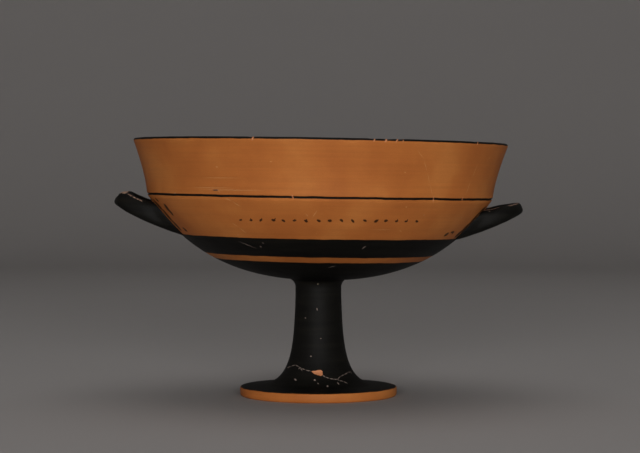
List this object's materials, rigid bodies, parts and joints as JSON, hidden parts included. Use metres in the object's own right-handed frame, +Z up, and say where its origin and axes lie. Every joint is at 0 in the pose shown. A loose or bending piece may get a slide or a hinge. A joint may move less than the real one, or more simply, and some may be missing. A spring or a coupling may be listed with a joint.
{
  "type": "kylix cup",
  "caption": "Footed drinking cup of fired clay with a wide shallow bowl, an offset flaring lip, looped side handles and a tall stem on a disc foot.",
  "frame": {"origin": "middle of the foot's resting face, on the surface the cup stands on", "axes": "+Z up along the stem, +X through the right handle and -X through the left one, -Y towards the front"},
  "size_m": [0.23, 0.21, 0.145],
  "materials": {
    "reserved_clay": "burnished orange fired clay, satin",
    "black_gloss": "black slip gloss, softly shiny, worn at edges"
  },
  "bodies": {
    "root": {"bowl": "reserved_clay", "stem_and_foot": "black_gloss", "right_handle": "black_gloss", "left_handle": "black_gloss"}
  },
  "joints": []
}
